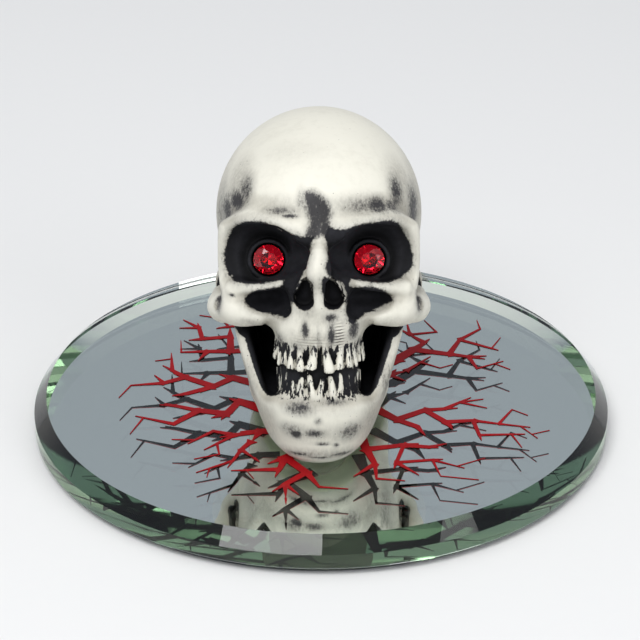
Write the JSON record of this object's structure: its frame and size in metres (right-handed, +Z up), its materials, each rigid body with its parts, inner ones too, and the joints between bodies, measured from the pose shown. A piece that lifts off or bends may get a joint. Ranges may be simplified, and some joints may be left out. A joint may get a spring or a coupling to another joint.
{
  "type": "halloween skull decoration",
  "caption": "Painted resin skull with red faceted stones for eyes, glued on a round bevelled mirror with a red crack print, and felt underneath.",
  "frame": {"origin": "centre of the felt's underside, on the surface that the part stands on", "axes": "+Z up; the skull's face looks along -Y, so its left in the picture is -X"},
  "size_m": [0.095, 0.095, 0.0541],
  "materials": {
    "painted_resin": "bone paint with a black wash rubbed into the hollows",
    "red_stone": "faceted and polished",
    "foil": "bright",
    "glue": "clear, slightly yellow",
    "red_ink": "satin printed film",
    "black_ink": "printed film",
    "clear_glass": "polished, with a bevelled edge",
    "silvering": "mirror",
    "backing_paint": "matt",
    "felt": "felt"
  },
  "bodies": {
    "root": {"skull_casting": "painted_resin", "eye_stone_left": "red_stone", "eye_stone_right": "red_stone", "stone_foil_left": "foil", "stone_foil_right": "foil", "stone_glue_left": "glue", "stone_glue_right": "glue", "skull_glue": "glue", "crack_print_red": "red_ink", "crack_underprint_black": "black_ink", "mirror_glass": "clear_glass", "mirror_silvering": "silvering", "mirror_backing_paint": "backing_paint", "felt_adhesive": "glue", "felt_base": "felt"}
  },
  "joints": []
}
